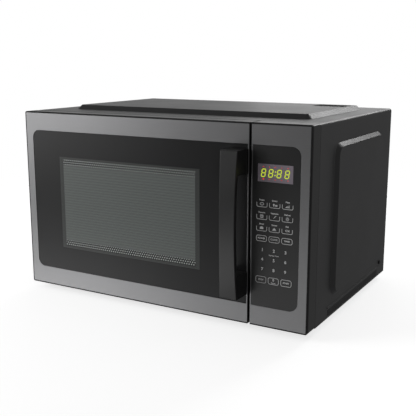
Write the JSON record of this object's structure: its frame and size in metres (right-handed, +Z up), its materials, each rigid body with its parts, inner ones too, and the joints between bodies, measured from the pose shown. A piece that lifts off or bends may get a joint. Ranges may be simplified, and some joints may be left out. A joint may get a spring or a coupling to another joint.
{
  "type": "microwave oven",
  "caption": "Countertop microwave oven with a side-hinged glass door, bowed pull handle, membrane key panel, turntable and full inner mechanism.",
  "frame": {"origin": "on the table, under the middle of the oven's overall box", "axes": "+X to the right seen from the front, +Y towards the back, +Z up; the door faces -Y"},
  "size_m": [0.525, 0.4084, 0.313],
  "materials": {
    "dark_enamel": "satin powder coat",
    "zinc_sheet": "zinc-plated sheet",
    "cavity_enamel": "smooth pale grey enamel",
    "black_rubber": "matt",
    "screw_steel": "zinc-plated",
    "silver_plastic": "silver-grey painted, satin",
    "black_glass": "black printed back, glossy",
    "mesh_steel": "perforated, black paint",
    "dark_plastic": "fine grain",
    "clear_film": "clear",
    "gloss_black_plastic": "semi-gloss",
    "natural_plastic": "natural white",
    "spring_steel": "bright",
    "overlay_film": "printed film, glossy",
    "circuit_film": "translucent film",
    "display_filter": "tinted, glossy",
    "circuit_board": "solder mask",
    "relay_plastic": "moulded",
    "winding_tape": "polyester tape",
    "tray_glass": "clear tempered",
    "mica_sheet": "pressed mica",
    "copper_tube": "plated",
    "ferrite": "ferrite ceramic",
    "aluminium_fin": "mill finish",
    "laminated_steel": "varnished laminations",
    "copper_winding": "enamelled copper wire",
    "lamp_glass": "clear bulb",
    "red_plastic": "moulded",
    "red_wire": "PVC insulation"
  },
  "bodies": {
    "root": {"cabinet_wrap": "dark_enamel", "base_plate": "zinc_sheet", "back_panel": "zinc_sheet", "front_plate": "zinc_sheet", "oven_cavity": "cavity_enamel", "feet": "black_rubber", "cabinet_screws": "screw_steel", "cord_gland": "black_rubber", "upper_hinge": "zinc_sheet", "lower_hinge": "zinc_sheet", "panel_bezel": "silver_plastic", "panel_overlay": "overlay_film", "key_membrane": "circuit_film", "key_domes": "spring_steel", "display_lens": "display_filter", "display_module": "dark_plastic", "control_board": "circuit_board", "board_relays": "relay_plastic", "board_transformer": "winding_tape", "buzzer": "dark_plastic", "board_screws": "screw_steel", "turntable_motor": "zinc_sheet", "waveguide": "zinc_sheet", "mica_cover": "mica_sheet", "magnetron_tube": "copper_tube", "magnetron_magnets": "ferrite", "magnetron_fins": "aluminium_fin", "magnetron_yoke": "zinc_sheet", "transformer_core": "laminated_steel", "transformer_coils": "copper_winding", "capacitor": "aluminium_fin", "capacitor_clamp": "zinc_sheet", "hv_diode": "dark_plastic", "fan_shroud": "natural_plastic", "fan_motor": "laminated_steel", "oven_lamp": "lamp_glass", "thermal_cutouts": "dark_plastic", "latch_board": "natural_plastic", "interlock_switches": "dark_plastic", "wiring": "red_wire"},
    "door": {"door_frame": "silver_plastic", "door_glass": "black_glass", "door_plate": "zinc_sheet", "screen_mesh": "mesh_steel", "choke_cover": "dark_plastic", "inner_window": "clear_film", "handle": "gloss_black_plastic", "handle_screws": "screw_steel", "latch_spring": "spring_steel"},
    "latch": {"latch_lever": "natural_plastic"},
    "drive": {"tray_coupler": "natural_plastic", "motor_shaft": "natural_plastic"},
    "tray": {"glass_tray": "tray_glass"},
    "ring": {"roller_ring": "natural_plastic"},
    "roller_1_body": {"roller_1": "natural_plastic"},
    "roller_2_body": {"roller_2": "natural_plastic"},
    "roller_3_body": {"roller_3": "natural_plastic"},
    "fan": {"fan_rotor": "screw_steel", "fan_blade": "dark_plastic"},
    "plungers": {"switch_plungers": "red_plastic"}
  },
  "joints": [
    {"name": "door_hinge", "type": "hinge", "parent": "root", "child": "door", "pos_m": [-0.2485, -0.14475, 0.1585], "axis": [0, 0, -1], "range_deg": [0, 95]},
    {"name": "latch_lift", "type": "slide", "parent": "door", "child": "latch", "axis": [0, 0, 1], "range_m": [0, 0.004], "stiffness_N_per_m": 300, "springref_m": -0.008, "deforming": ["latch_spring"]},
    {"name": "turntable_spin", "type": "hinge", "parent": "root", "child": "drive", "pos_m": [-0.054, 0.02275, 0.045], "axis": [0, 0, 1], "continuous": true},
    {"name": "tray_lift", "type": "slide", "parent": "drive", "child": "tray", "axis": [0, 0, 1], "range_m": [0, 0.012]},
    {"name": "ring_spin", "type": "hinge", "parent": "root", "child": "ring", "pos_m": [-0.054, 0.02275, 0.0521], "axis": [0, 0, 1], "continuous": true},
    {"name": "roller_1_spin", "type": "hinge", "parent": "ring", "child": "roller_1_body", "pos_m": [0.041, 0.02275, 0.0521], "axis": [1, 0, 0], "continuous": true},
    {"name": "roller_2_spin", "type": "hinge", "parent": "ring", "child": "roller_2_body", "pos_m": [-0.1015, 0.10502, 0.0521], "axis": [-0.5, 0.866, 0], "continuous": true},
    {"name": "roller_3_spin", "type": "hinge", "parent": "ring", "child": "roller_3_body", "pos_m": [-0.1015, -0.05952, 0.0521], "axis": [-0.5, -0.866, 0], "continuous": true},
    {"name": "fan_spin", "type": "hinge", "parent": "root", "child": "fan", "pos_m": [0.1875, 0.16825, 0.185], "axis": [0, 1, 0], "continuous": true},
    {"name": "plunger_travel", "type": "slide", "parent": "root", "child": "plungers", "axis": [0, -1, 0], "range_m": [0, 0.0015]}
  ],
  "couplings": [
    {"joint": "ring_spin", "follows": "turntable_spin", "ratio": 0.5},
    {"joint": "roller_1_spin", "follows": "turntable_spin", "ratio": -6.9853},
    {"joint": "roller_2_spin", "follows": "turntable_spin", "ratio": -6.9853},
    {"joint": "roller_3_spin", "follows": "turntable_spin", "ratio": -6.9853},
    {"joint": "plunger_travel", "follows": "door_hinge", "m_per_rad": 0.0009}
  ]
}
